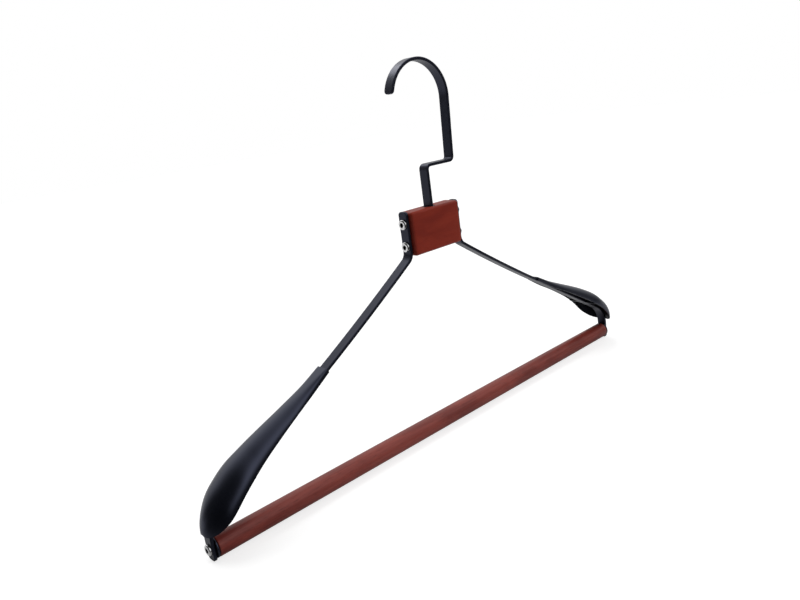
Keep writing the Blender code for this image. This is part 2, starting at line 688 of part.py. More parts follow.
def make_screw(name, side, x, z, parts, cutters, materials):
    """A button-head screw whose head seats on the strap's outer face at x."""
    rise = SCREW_HEAD_HEIGHT - SCREW_RIM_HEIGHT
    profile = [(0, SCREW_HEAD_HEIGHT)]
    for angle in np.linspace(math.pi / 2, 0, SCREW_CROWN_STEPS + 1):
        reach = SCREW_CROWN_RADIUS + (SCREW_HEAD_RADIUS - SCREW_CROWN_RADIUS) * math.cos(angle)
        profile.append((reach, SCREW_RIM_HEIGHT + rise * math.sin(angle)))
    profile += [(SCREW_HEAD_RADIUS, 0), (SCREW_SHANK_RADIUS, 0),
                (SCREW_SHANK_RADIUS, SCREW_POINT - SCREW_LENGTH),
                (SCREW_SHANK_RADIUS - SCREW_POINT, -SCREW_LENGTH), (0, -SCREW_LENGTH)]
    screw = turned(name, profile, False, ROUND_SIDES, parts)
    screw.matrix_world = Matrix.Translation((side * (x + SEAT_GAP), 0, z)) @ outward_turn(side)
    outer = x + SEAT_GAP + SCREW_HEAD_HEIGHT
    socket = cylinder(f"{name}_socket", SOCKET_ACROSS_FLATS / math.sqrt(3),
                      (side * (outer - SOCKET_DEPTH), 0, z), (side * (outer + CUT_OVERRUN), 0, z),
                      cutters, sides=HEX_SIDES)
    boolean(screw, as_cutter(socket), "DIFFERENCE")
    bpy.context.view_layer.update()
    smooth(bake(screw, parts, materials["bright_steel"]))


def make_insert(name, side, face, z, parts, materials):
    """A brass tube, threaded inside on the real one, sunk into a wooden end face at x = face."""
    bore = SCREW_SHANK_RADIUS + SEAT_GAP
    profile = [(INSERT_RADIUS, 0), (INSERT_RADIUS, -INSERT_LENGTH), (bore, -INSERT_LENGTH), (bore, 0)]
    insert = turned(name, profile, True, ROUND_SIDES, parts)
    insert.matrix_world = Matrix.Translation((side * (face - SEAT_GAP), 0, z)) @ outward_turn(side)
    bpy.context.view_layer.update()
    smooth(bake(insert, parts, materials["brass"]))


def parent_to(empty, names):
    for name in names:
        obj = bpy.data.objects[name]
        place = obj.matrix_world.copy()
        obj.parent = empty
        obj.matrix_parent_inverse = empty.matrix_world.inverted()
        obj.matrix_world = place


def main():
    clear_scene()
    parts = new_collection("coat_hanger")
    cutters = new_collection("cutters")
    materials = make_materials()

    make_hook(parts, cutters, materials)
    make_washer(parts, materials)
    make_lock_nut(parts, cutters, materials)
    make_block(parts, cutters, materials)
    make_bar(parts, cutters, materials)
    strap_face = STRAP_X + STOCK_HALF
    for label, side in SIDES.items():
        make_arm(label, side, parts, cutters, materials)
        make_shell(label, side, parts, cutters, materials)
        make_cap(label, side, parts, materials)
        for place, z in zip(("upper", "lower"), SCREW_ZS):
            make_screw(f"{label}_{place}_block_screw", side, strap_face, z, parts, cutters, materials)
            make_insert(f"{label}_{place}_block_insert", side, BLOCK_LENGTH / 2, z, parts, materials)
        make_screw(f"{label}_bar_screw", side, SPAN / 2, BAR_Z, parts, cutters, materials)
        make_insert(f"{label}_bar_insert", side, BAR_END_X, BAR_Z, parts, materials)

    swivel = bpy.data.objects.new("hook_swivel_axis", None)
    swivel.empty_display_size = BLOCK_LENGTH
    swivel.location = (0, 0, BLOCK_TOP_Z)
    parts.objects.link(swivel)
    bpy.context.view_layer.update()
    fixed = {"hook", "hook_washer", "hook_lock_nut"}
    turning = [obj.name for obj in parts.objects if obj.type == "MESH" and obj.name not in fixed]
    parent_to(swivel, turning)


main()
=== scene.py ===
# %% [markdown]
# A suit hanger stands on its trouser bar on a pale floor: a bent steel hook, a small wooden
# block, two strap arms with moulded shoulders, and a round wooden bar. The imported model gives
# every place and joint. This file gives each piece its fine surface and its finish, so that
# each can be seen from any side and still turn under its hook.
# It is read from top to bottom. Every step says what the thing is on the real hanger, how it
# could be made, and why it is made the way that follows.

# %% The fixed frame
import math

import bmesh
import bpy
import numpy as np
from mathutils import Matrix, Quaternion, Vector


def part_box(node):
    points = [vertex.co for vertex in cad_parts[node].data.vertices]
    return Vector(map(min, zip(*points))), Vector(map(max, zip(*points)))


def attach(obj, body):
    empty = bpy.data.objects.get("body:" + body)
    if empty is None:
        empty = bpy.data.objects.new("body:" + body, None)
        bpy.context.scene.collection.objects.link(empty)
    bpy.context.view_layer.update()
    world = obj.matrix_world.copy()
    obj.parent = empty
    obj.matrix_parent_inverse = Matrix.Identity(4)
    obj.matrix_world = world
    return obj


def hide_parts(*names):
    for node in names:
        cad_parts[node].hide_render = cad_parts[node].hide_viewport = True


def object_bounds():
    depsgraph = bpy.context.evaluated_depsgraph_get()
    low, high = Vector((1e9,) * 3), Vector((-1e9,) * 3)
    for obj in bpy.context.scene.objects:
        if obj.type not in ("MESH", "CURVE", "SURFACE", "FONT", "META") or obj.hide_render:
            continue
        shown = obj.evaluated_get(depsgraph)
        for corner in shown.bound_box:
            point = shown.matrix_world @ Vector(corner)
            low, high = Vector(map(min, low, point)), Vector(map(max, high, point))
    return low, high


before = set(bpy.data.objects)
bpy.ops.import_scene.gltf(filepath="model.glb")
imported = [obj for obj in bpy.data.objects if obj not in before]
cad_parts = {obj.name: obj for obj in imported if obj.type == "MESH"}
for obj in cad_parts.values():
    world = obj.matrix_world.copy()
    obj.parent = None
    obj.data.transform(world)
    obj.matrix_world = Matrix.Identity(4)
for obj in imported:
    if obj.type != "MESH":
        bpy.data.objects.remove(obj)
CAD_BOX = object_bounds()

MM = 0.001
DEG = math.pi / 180

# %% [markdown]
# The camera comes first, because it decides what shows. The photograph was taken from the
# front left, a little above the middle of the hanger, with the camera tipped so that the bar
# climbs to the right. Its place was worked out from the corners of the block, the ends of the
# bar and the outline of the hook. A place, a point to aim at and a roll say all of that
# without a table of angles.

# %% Camera
CAMERA_PLACE = Vector((-0.36386, -0.37706, -0.02518))
CAMERA_AIM = Vector((-0.04055, 0.00029, -0.16590))
CAMERA_ROLL = -8.02 * DEG
CAMERA_LENS = 31.52
CAMERA_SENSOR = 36.0

camera_data = bpy.data.cameras.new("camera")
camera_data.lens = CAMERA_LENS
camera_data.sensor_width = CAMERA_SENSOR
camera_data.clip_start = 10 * MM
camera = bpy.data.objects.new("camera", camera_data)
camera.location = CAMERA_PLACE
camera.rotation_mode = "QUATERNION"
camera.rotation_quaternion = ((CAMERA_AIM - CAMERA_PLACE).to_track_quat("-Z", "Y")
                              @ Quaternion((0, 0, 1), CAMERA_ROLL))
bpy.context.scene.collection.objects.link(camera)
bpy.context.scene.camera = camera
print("camera to aim:", round((CAMERA_AIM - CAMERA_PLACE).length, 3), "m")

# %% [markdown]
# Shader maths reads best as ordinary sums. A Wire holds one socket and turns plus, minus and
# times into Math nodes, from both sides, so that 1 - mask works. Every other node is added by
# one method, which takes the node's type, its settings and what goes into it.

# %% Shader sums
class Wire:
    """A value on its way through a material. A sum on it adds one Math node."""

    def __init__(self, finish, socket):
        self.finish = finish
        self.socket = socket

    def math(self, operation, *values):
        """Any Math node, on wires or numbers."""
        inputs = dict(enumerate(values))
        return self.finish.node("ShaderNodeMath", {"operation": operation}, inputs)

    def __add__(self, other):
        return self.math("ADD", self, other)

    def __sub__(self, other):
        return self.math("SUBTRACT", self, other)

    def __rsub__(self, other):
        return self.math("SUBTRACT", other, self)

    def __mul__(self, other):
        return self.math("MULTIPLY", self, other)

    __radd__ = __add__
    __rmul__ = __mul__

    def between(self, low, high):
        """0 below low, 1 above high, and a soft S-shaped step from one to the other."""
        settings = {"interpolation_type": "SMOOTHSTEP"}
        return self.finish.node("ShaderNodeMapRange", settings, {0: self, 1: low, 2: high})


class Finish:
    """One material: a Principled BSDF, its constants, and the nodes that vary it."""

    def __init__(self, name, **constants):
        self.material = bpy.data.materials.new(name)
        self.material.use_nodes = True
        self.tree = self.material.node_tree
        self.shader = self.tree.nodes["Principled BSDF"]
        for socket, value in constants.items():
            self.shader.inputs[socket.replace("_", " ")].default_value = value

    def node(self, kind, settings=None, inputs=None, output=0):
        """Any node: its settings first, then each input as a number, a colour or a Wire."""
        made = self.tree.nodes.new(kind)
        for name, value in (settings or {}).items():
            setattr(made, name, value)
        for key, value in (inputs or {}).items():
            if isinstance(value, Wire):
                self.tree.links.new(value.socket, made.inputs[key])
            else:
                made.inputs[key].default_value = value
        return Wire(self, made.outputs[output])

    def place(self, stretch=(1, 1, 1), shift=(0, 0, 0)):
        """The point of the piece in metres, stretched and shifted."""
        here = self.node("ShaderNodeTexCoord", output="Object")
        return self.node("ShaderNodeMapping", {}, {"Vector": here, "Scale": stretch,
                                                   "Location": shift})

    def along(self, where, direction):
        """How far a point or a direction reaches along another direction: their dot product."""
        return self.node("ShaderNodeVectorMath", {"operation": "DOT_PRODUCT"},
                         {0: where, 1: direction}, "Value")

    def noise(self, where, scale=1.0, detail=2.0, roughness=0.5, distortion=0.0):
        """Cloudy noise from 0 to 1, with scale blobs to the unit."""
        return self.node("ShaderNodeTexNoise", {}, {"Vector": where, "Scale": scale,
                                                    "Detail": detail, "Roughness": roughness,
                                                    "Distortion": distortion})

    def mix(self, first, second, share):
        """One colour fading into another."""
        return self.node("ShaderNodeMix", {"data_type": "RGBA"},
                         {0: share, 6: first, 7: second}, output=2)

    def bump(self, height, depth):
        """A surface that rises by depth metres where height is 1."""
        return self.node("ShaderNodeBump", {}, {"Height": height, "Strength": 1.0,
                                                "Distance": depth})

    def feed(self, **wires):
        """Links the wires to the shader's sockets and hands back the finished material."""
        for socket, wire in wires.items():
            self.tree.links.new(wire.socket, self.shader.inputs[socket.replace("_", " ")])
        print(f"finish {self.material.name}: {len(self.tree.nodes)} nodes")
        return self.material


# %% [markdown]
# The steel is powder coated. The powder melts into a film that is never quite flat: it has a
# fine orange peel, about a millimetre across and a hundredth of that deep, and its satin gloss
# is a little uneven. The colour is a blue-black. Two sizes of noise give the peel, and a
# broad one moves the roughness, so the soft highlights break up as they do on the real bar.

# %% Powder coat
def powder_coat():
    """Roughness = 0.28 + broad / 10 + grit / 20, and a normal from peel and grit."""
    finish = Finish("powder_coat", Specular_IOR_Level=0.62, Specular_Tint=(0.58, 0.64, 1, 1))
    here = finish.place()
    broad = finish.noise(here, scale=55.0, detail=3.0)
    peel = finish.noise(here, scale=950.0, detail=2.0)
    grit = finish.noise(here, scale=4200.0, detail=1.0)
    colour = finish.mix((0.0045, 0.0048, 0.0075, 1), (0.0070, 0.0075, 0.0115, 1),
                        broad.between(0.3, 0.7))
    roughness = 0.28 + broad * 0.10 + grit * 0.05
    normal = finish.bump(peel * 0.75 + grit * 0.25, 0.012 * MM)
    return finish.feed(Base_Color=colour, Roughness=roughness, Normal=normal)


# %% [markdown]
# The shoulders and the bar's end discs are moulded in black plastic. The mould was lightly
# textured, which gives a fine even grain and a soft sheen. The tint is the same blue-black as
# the steel's, with a faint cloudiness left by the flow of the plastic. The hollow side of a
# shoulder gets far less gloss than its outside, so that it mirrors little and stays dark as
# painted shade; the same recipe is mixed twice, with more gloss and with less.

# %% Moulded plastic
def moulded_plastic(name, gloss):
    """Blue-black plastic, whose gloss scales how much it mirrors."""
    finish = Finish(name, Specular_IOR_Level=gloss, Specular_Tint=(0.62, 0.68, 1, 1))
    here = finish.place()
    cloud = finish.noise(here, scale=28.0, detail=3.0, roughness=0.6)
    grain = finish.noise(here, scale=2600.0, detail=2.0)
    colour = finish.mix((0.0014, 0.0015, 0.0026, 1), (0.0028, 0.0031, 0.0050, 1),
                        cloud.between(0.3, 0.7))
    roughness = 0.26 + cloud * 0.08 + grain * 0.04
    normal = finish.bump(grain, 0.010 * MM)
    return finish.feed(Base_Color=colour, Roughness=roughness, Normal=normal)


# %% [markdown]
# The block and the bar are a close-grained hardwood stained mahogany, then lacquered. The
# grain runs along X in both. Long stretched noise gives the slow figure, a finer one the
# fibres, and a third, cut off high, the short dark pores that soak up more stain. How streaky
# the wood looks is one share: the block was cut from the plain face of the board, where the
# grain hardly shows, and the turned bar shows more of it. Lacquer fills most of the pores, so
# the bump is slight, and the gloss is the lacquer's own.

# %% Stained wood
def stained_wood(name, pale, deep, pore, gloss, streak, seed):
    """Stain = figure * (1 - streak) + fibre * streak, from pale to deep, with pores on top."""
    finish = Finish(name, Specular_IOR_Level=gloss)
    figure = finish.noise(finish.place((18, 60, 60), (seed, 0, 0)), detail=4.0,
                          roughness=0.6, distortion=0.6)
    fibre = finish.noise(finish.place((40, 900, 900), (0, seed, 0)), detail=3.0, roughness=0.6)
    dashes = finish.noise(finish.place((160, 2300, 2300), (0, 0, seed)), detail=1.0)
    pores = dashes.between(0.62, 0.72)
    stain = figure.between(0.35, 0.65) * (1 - streak) + fibre.between(0.3, 0.7) * streak
    colour = finish.mix(finish.mix(pale, deep, stain), pore, pores * streak)
    roughness = 0.40 + fibre * 0.12 + pores * 0.10
    normal = finish.bump(fibre * 0.3 - pores * 0.7, 0.012 * MM)
    return finish.feed(Base_Color=colour, Roughness=roughness, Normal=normal)


# %% [markdown]
# The screws are bright chrome over steel. Chrome has no colour pattern of its own. What shows
# is what it reflects, slightly blurred by polishing marks, and a hint of dullness here and
# there. The washer and nut are zinc plated, which is greyer and rougher, and the threaded
# inserts in the wood are turned brass.

# %% Bare metals
def bare_metal(name, light, dark, shine, spread):
    """Metal between two greys or golds, with roughness = shine + patch * spread."""
    finish = Finish(name, Metallic=1.0)
    here = finish.place()
    patch = finish.noise(here, scale=420.0, detail=3.0)
    marks = finish.noise(here, scale=5200.0, detail=1.0)
    colour = finish.mix(light, dark, patch.between(0.35, 0.75))
    roughness = shine + patch * spread
    normal = finish.bump(marks, 0.002 * MM)
    return finish.feed(Base_Color=colour, Roughness=roughness, Normal=normal)


# %% [markdown]
# Now the finishes are mixed. The wood's colours were judged against the photograph: the
# block is a clear red-brown, and the bar a shade darker and greyer. The last metal is the dull
# steel inside a screw's socket, made nearly black as painted shade, since hardly any light gets in.

# %% All the finishes
BLACK_COAT = powder_coat()
BLACK_PLASTIC = moulded_plastic("moulded_plastic", 1.0)
# The low-gloss copy is painted shade for the hollow sides of the shoulders.
SHADED_INNER_PLASTIC = moulded_plastic("dull_plastic_painted_shade", 0.12)
BLOCK_WOOD = stained_wood("block_wood", (0.275, 0.0280, 0.0125, 1), (0.205, 0.0175, 0.0085, 1),
                          (0.085, 0.0090, 0.0050, 1), 0.25, 0.15, 0.7)
BAR_WOOD = stained_wood("bar_wood", (0.275, 0.0480, 0.0340, 1), (0.150, 0.0190, 0.0130, 1),
                        (0.060, 0.0090, 0.0070, 1), 0.50, 0.35, 3.1)
CHROME = bare_metal("chrome", (0.86, 0.86, 0.87, 1), (0.78, 0.78, 0.80, 1), 0.10, 0.08)
ZINC = bare_metal("zinc", (0.62, 0.63, 0.65, 1), (0.50, 0.51, 0.53, 1), 0.28, 0.12)
BRASS = bare_metal("brass", (0.76, 0.56, 0.26, 1), (0.62, 0.44, 0.19, 1), 0.24, 0.12)
# The socket's steel is dull, and nearly black as painted shade in the deep hole.
SOCKET_STEEL_AND_SHADE = bare_metal("socket_steel_and_painted_shade", (0.050, 0.050, 0.055, 1),
                          (0.025, 0.025, 0.030, 1), 0.45, 0.15)

# %% [markdown]
# Every piece below is a surface worked out as a grid of points with two parameters. A grid
# that comes back on itself is closed by wrapping it, and a grid that runs into a point or a
# line is closed by merging what coincides. One function turns grids into a closed mesh whose
# faces look outwards, and another shades it smooth, with creases only where it turns sharply.

# %% Grids to meshes
MERGE = 0.0005 * MM
CREASE = 34 * DEG


def quads(rows, columns, wrap_rows, wrap_columns):
    """Corners of each quad: point (i, j), the next in j, the one diagonally on, the next in i."""
    i, j = np.meshgrid(np.arange(rows if wrap_rows else rows - 1),
                       np.arange(columns if wrap_columns else columns - 1), indexing="ij")
    next_i = (i + 1) % rows
    next_j = (j + 1) % columns
    corners = (i * columns + j, i * columns + next_j,
               next_i * columns + next_j, next_i * columns + j)
    return np.stack(corners, axis=-1).reshape(-1, 4)


def solid_from(name, points, faces):
    """A new object in the scene, with what coincides merged and its faces looking outwards."""
    mesh = bpy.data.meshes.new(name)
    mesh.from_pydata(points.tolist(), [], faces)
    work = bmesh.new()
    work.from_mesh(mesh)
    bmesh.ops.remove_doubles(work, verts=work.verts, dist=MERGE)
    bmesh.ops.dissolve_degenerate(work, edges=work.edges, dist=MERGE)
    bmesh.ops.recalc_face_normals(work, faces=work.faces)
    work.to_mesh(mesh)
    work.free()
    obj = bpy.data.objects.new(name, mesh)
    bpy.context.scene.collection.objects.link(obj)
    return obj


def body_from(name, *grids):
    """One object from (points, wrap_rows, wrap_columns) grids, with its place in its mesh."""
    points, faces, count = [], [], 0
    for grid, wrap_rows, wrap_columns in grids:
        points.append(grid.reshape(-1, 3))
        faces.append(quads(*grid.shape[:2], wrap_rows, wrap_columns) + count)
        count += len(points[-1])
    return solid_from(name, np.concatenate(points), np.concatenate(faces).tolist())


def carve(obj, operation, *tools):
    """Cuts tools away from obj, or joins them to it, and keeps the result as its mesh."""
    for tool in tools:
        modifier = obj.modifiers.new(tool.name, "BOOLEAN")
        modifier.operation = operation
        modifier.solver = "EXACT"
        modifier.object = tool
    bake(obj)
    for tool in tools:
        bpy.data.objects.remove(tool)
    return obj


def bake(obj):
    """The object's modifiers, made part of its mesh."""
    graph = bpy.context.evaluated_depsgraph_get()
    obj.data = bpy.data.meshes.new_from_object(obj.evaluated_get(graph))
    obj.modifiers.clear()
    return obj


def finish_piece(obj, material, body, node, crease=CREASE):
    """Shades the piece, gives it its finish and its body, and lets it stand for its CAD node."""
    if not obj.data.materials:
        obj.data.materials.append(material)
    obj.data.shade_smooth()
    obj.data.set_sharp_from_angle(angle=crease)
    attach(obj, body)
    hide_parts(node)
    low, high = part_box(node)
    own = np.array([corner[:] for corner in obj.bound_box])
    off = max(np.abs(own.min(0) - low).max(), np.abs(own.max(0) - high).max()) / MM
    print(f"{obj.name}: {len(obj.data.polygons)} faces, {off:.2f} mm off its node's box")
    return obj


# %% [markdown]
# Turned pieces are profiles carried round an axis: the bar, the discs, the screws, the washer.
# A thread is the same surface with its radius lowered in a wave that climbs one pitch each
# turn. So one function takes heights and radii, which may change round the axis as well.

# %% Turning
SCREW_SIDES = 64
ROUND_SIDES = 96


def turn(heights, radii, centre, axis, sides=SCREW_SIDES):
    """Point = centre + height * axis + radius * (cos a * u + sin a * v), u and v square to axis."""
    axis = np.array(axis, float)
    u = np.array((0, 1, 0)) if abs(axis[1]) < 0.5 else np.array((1, 0, 0))
    v = np.cross(axis, u)
    angle = np.linspace(0, 2 * math.pi, sides, endpoint=False)
    ring = np.cos(angle)[:, None] * u + np.sin(angle)[:, None] * v
    radii = np.asarray(radii, float)
    if radii.ndim == 1:
        radii = np.repeat(radii[:, None], sides, axis=1)
    heights = np.asarray(heights, float)[:, None, None]
    return np.array(centre) + heights * axis + radii[:, :, None] * ring


def rounded(profile, fillets, steps=5):
    """A (radius, height) profile whose inner corners are rounded by the given radii."""
    profile = np.array(profile, float)
    made = [profile[:1]]
    for before, corner, after, fillet in zip(profile, profile[1:], profile[2:], fillets):
        back = (before - corner) / np.linalg.norm(before - corner)
        ahead = (after - corner) / np.linalg.norm(after - corner)
        if fillet == 0:
            made.append(corner[None])
            continue
        t = np.linspace(0, 1, steps + 1)[:, None]
        made.append(corner + fillet * (back * (1 - t) ** 2 + ahead * t ** 2))
    made.append(profile[-1:])
    return np.concatenate(made)


# %% [markdown]
# The hook and the arms are one stock: steel flat bar, 8.4 by 2.3 mm, with eased edges. It
# could be a section swept along a curve, but then the rounded ends need a cutter and lose the
# eased edge. Here the bar is first laid out flat. Its outline runs once round the strip, the
# second parameter crosses it from the middle line over the edge to the other face, and the
# easing follows the outline all the way round both ends. Then the strip is bent.

# %% Flat bar, laid out
arm_low, arm_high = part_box("left_arm_strap")
STOCK_HALF_WIDTH = (arm_high.y - arm_low.y) / 2
STOCK_HALF = 2.3 * MM / 2
STOCK_EASE = 0.45 * MM
END_ROUND = 2.6 * MM
STATION_STEP = 0.7 * MM
END_STEPS = 12
EASE_POINTS = 6
print("flat bar:", round(2 * STOCK_HALF_WIDTH / MM, 2), "by", round(2 * STOCK_HALF / MM, 2), "mm")


def strip_outline(length, first_corner, last_corner):
    """Round the strip: its far corners as arcs, one side back, its near corners, the other side."""
    width = STOCK_HALF_WIDTH
    sweep = np.linspace(0, math.pi / 2, END_STEPS)
    stations = np.arange(first_corner, length - last_corner, STATION_STEP)
    sides = np.append(stations, length - last_corner)
    parts = []
    for corner, end, turns in ((last_corner, length - last_corner, (0, 1)),
                               (first_corner, first_corner, (2, 3))):
        for quarter in turns:
            angle = sweep - math.pi / 2 + quarter * math.pi / 2
            normal = np.stack([np.cos(angle), np.sin(angle)], axis=1)
            middle = (end, (width - corner) * (1 if quarter in (1, 2) else -1))
            parts.append(np.hstack([middle + corner * normal, normal]))
        run = sides[::-1] if end > length / 2 else sides
        edge = 1 if end > length / 2 else -1
        parts.append(np.stack([run, np.full(len(run), edge * width),
                               np.zeros(len(run)), np.full(len(run), float(edge))], axis=1))
    return np.concatenate(parts)


def flat_strip(length, first_corner=END_ROUND, last_corner=END_ROUND):
    """Length, width and thickness coordinates over the closed strip, on a grid across by round."""
    width = STOCK_HALF_WIDTH
    outline = strip_outline(length, first_corner, last_corner)
    spot, normal = outline[:, :2], outline[:, 2:]
    inset = spot - STOCK_EASE * normal
    spine = np.stack([np.clip(spot[:, 0], width, length - width), np.zeros(len(spot))], axis=1)
    rows = [np.hstack([spine + share * (inset - spine), np.full((len(spot), 1), STOCK_HALF)])
            for share in (0, 0.5, 0.94, 1)]
    for angle in np.linspace(0, math.pi / 2, EASE_POINTS)[1:]:
        rise = np.full((len(spot), 1), STOCK_HALF - STOCK_EASE * (1 - math.cos(angle)))
        rows.append(np.hstack([inset + STOCK_EASE * math.sin(angle) * normal, rise]))
    top = np.array(rows)
    return np.concatenate([top, top[::-1] * (1, 1, -1)])


# %% [markdown]
# Bending is a walk. Each leg of the walk has a length and a turn, and the heading changes
# evenly along it, so a leg without a turn is straight and any other is an arc. The place is
# the running sum of small steps along the heading. The strip's length coordinate then says
# how far along the walk a point lies, and its thickness coordinate how far to the left.

# %% Bending
WALK_STEP = 0.02 * MM


def walk(start, heading, legs):
    """Distances, x, z and heading on the walk: heading is linear in each leg, place its integral."""
    lengths = [length for length, _ in legs]
    corners = np.concatenate([[0], np.cumsum(lengths)])
    headings = heading + np.concatenate([[0], np.cumsum([angle for _, angle in legs])])
    steps = int(corners[-1] / WALK_STEP)
    distance = np.linspace(0, corners[-1], steps + 1)
    middle = (distance[1:] + distance[:-1]) / 2
    facing = np.interp(middle, corners, headings)
    step = distance[1]
    x = start[0] + np.concatenate([[0], np.cumsum(np.cos(facing)) * step])
    z = start[1] + np.concatenate([[0], np.cumsum(np.sin(facing)) * step])
    return distance, x, z, np.interp(distance, corners, headings)


def bend(strip, route, side=1):
    """Place on the walk at the point's length, plus its thickness to the left of the heading."""
    distance, x, z, heading = route
    along = strip[..., 0]
    facing = np.interp(along, distance, heading)
    return np.stack([side * (np.interp(along, distance, x) - np.sin(facing) * strip[..., 2]),
                     strip[..., 1],
                     np.interp(along, distance, z) + np.cos(facing) * strip[..., 2]], axis=-1)


def tangent(radius, angle):
    """How far from a corner its bend begins."""
    return radius * math.tan(abs(angle) / 2)


# %% [markdown]
# The hook starts at its rounded tip, goes over the rail in one arc of 27 mm, down a leg that
# leans slightly out, sideways along the jog and down a short stem. The stem ends in a round
# head, pressed on and coated with it, and a threaded shank that goes through the block. From
# here on, a gap of 0.3 mm is left wherever one piece runs or sits in another.

# %% Hook
block_low, block_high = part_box("centre_block")
hook_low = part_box("hook")[0]
GAP = 0.3 * MM
HOOK_INNER = 26.2 * MM
HOOK_ASIDE = 2.4 * MM
HOOK_RADIUS = HOOK_INNER + STOCK_HALF
HOOK_CENTRE = (HOOK_ASIDE, -math.sqrt(HOOK_INNER ** 2 - HOOK_ASIDE ** 2))
HOOK_TIP_ANGLE = 168.5 * DEG
HOOK_LEAN = 2.7 * DEG
JOG_DROP = 47.7 * MM
JOG_HEIGHT = HOOK_CENTRE[1] - JOG_DROP
JOG_BEND = 3.2 * MM
HEAD_TOP = block_high.z - GAP
HEAD_HEIGHT = 3.5 * MM
HEAD_RADIUS = 4.55 * MM
HEAD_EDGE = 0.5 * MM
HEAD_FILLET = 0.3 * MM
STEM_SOCKET = 1.2 * MM
STEM_CORNER = 0.6 * MM
SHANK_RADIUS = 2.0 * MM
SHANK_PLAIN = 14.0 * MM
SHANK_POINT = 0.4 * MM
THREAD_PITCH = 0.7 * MM
THREAD_DEPTH = 0.38 * MM
THREAD_STEPS = 8


def hook_route():
    """The walk from the hook's tip to the end of its stem."""
    sweep = HOOK_TIP_ANGLE + HOOK_LEAN
    leg_top = (HOOK_CENTRE[0] + HOOK_RADIUS * math.cos(HOOK_LEAN),
               HOOK_CENTRE[1] - HOOK_RADIUS * math.sin(HOOK_LEAN))
    drop = leg_top[1] - JOG_HEIGHT
    jog = leg_top[0] - drop * math.tan(HOOK_LEAN)
    outer_turn = math.pi / 2 - HOOK_LEAN
    outer = tangent(JOG_BEND, outer_turn)
    inner = tangent(JOG_BEND, math.pi / 2)
    stem = JOG_HEIGHT - (HEAD_TOP - STEM_SOCKET)
    legs = [(HOOK_RADIUS * sweep, -sweep), (drop / math.cos(HOOK_LEAN) - outer, 0),
            (JOG_BEND * outer_turn, -outer_turn), (jog - outer - inner, 0),
            (JOG_BEND * math.pi / 2, math.pi / 2), (stem - inner, 0)]
    start = (HOOK_CENTRE[0] + HOOK_RADIUS * math.cos(HOOK_TIP_ANGLE),
             HOOK_CENTRE[1] + HOOK_RADIUS * math.sin(HOOK_TIP_ANGLE))
    return walk(start, HOOK_TIP_ANGLE - math.pi / 2, legs)


def thread(top, bottom, radius):
    """Heights and radii, lowered by a triangle wave of height / pitch + angle / turn."""
    count = max(2, round(abs(top - bottom) / THREAD_PITCH * THREAD_STEPS))
    heights = np.linspace(top, bottom, count + 1)
    angle = np.arange(SCREW_SIDES) / SCREW_SIDES
    phase = (heights[:, None] / THREAD_PITCH + angle[None]) % 1
    fade = np.minimum(1, np.minimum(abs(heights - top), abs(heights - bottom)) / THREAD_PITCH)
    return heights, radius - THREAD_DEPTH * fade[:, None] * (1 - abs(2 * phase - 1))


def threaded(profile_above, top, bottom, radius, point):
    """Heights and radii of a turned head, a threaded shank and a blunt point."""
    above = np.array(profile_above)
    heights, radii = thread(top, bottom, radius)
    tip = np.array([(radius - point, bottom - point), (0, bottom - point)])
    heights = np.concatenate([above[:, 1], heights, tip[:, 1]])
    radii = np.concatenate([np.repeat(above[:, :1], SCREW_SIDES, 1), radii,
                            np.repeat(tip[:, :1], SCREW_SIDES, 1)])
    return heights, radii


hook_walk = hook_route()
hook_strip = flat_strip(hook_walk[0][-1], END_ROUND, STEM_CORNER)
hook = body_from("bent_hook", (bend(hook_strip, hook_walk), False, True))
head_base = HEAD_TOP - HEAD_HEIGHT
head = rounded([(0, HEAD_TOP), (HEAD_RADIUS, HEAD_TOP), (HEAD_RADIUS, head_base),
                (SHANK_RADIUS, head_base)], (HEAD_EDGE, HEAD_FILLET))
heights, radii = threaded(head, head_base - SHANK_PLAIN, hook_low.z + SHANK_POINT,
                          SHANK_RADIUS, SHANK_POINT)
shank = body_from("shank", (turn(heights, radii, (0, 0, 0), (0, 0, 1)), False, True))
carve(hook, "UNION", shank)
finish_piece(hook, BLACK_COAT, "hook", "hook")

# %% [markdown]
# Under the block the shank carries a washer and a lock nut, up inside a counterbore. They
# only show from below. The nut is a hexagon whose corners are taken off by a cone, which is
# the smaller of two radii at each angle: the flat's and the cone's.

# %% Washer and lock nut
WASHER_EASE = 0.12 * MM
NUT_CHAMFER = 0.7 * MM
COLLAR_HEIGHT = 1.2 * MM
COLLAR_STEP = 0.1 * MM
COLLAR_EASE = 0.3 * MM
COLLAR_SHARE = 0.92
FACE_SHARE = 0.96
CORNER_SHARE = 1.2


def ring(name, node, bore, ease, axis=(0, 0, 1)):
    """A flat ring between the CAD node's ends: outer edge eased, a plain bore."""
    low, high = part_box(node)
    along = int(np.argmax(np.abs(axis)))
    centre = (low + high) / 2
    half = (high[along] - low[along]) / 2
    radius = (high.y - low.y) / 2
    corners = [(bore, half), (radius, half), (radius, -half), (bore, -half)]
    profile = rounded(corners, (ease, ease), 4)
    profile = np.vstack([profile, [(bore, -half + ease), (bore, half - ease)]])
    grid = turn(profile[:, 1], profile[:, 0], centre, axis, ROUND_SIDES)
    return body_from(name, (grid, True, True))


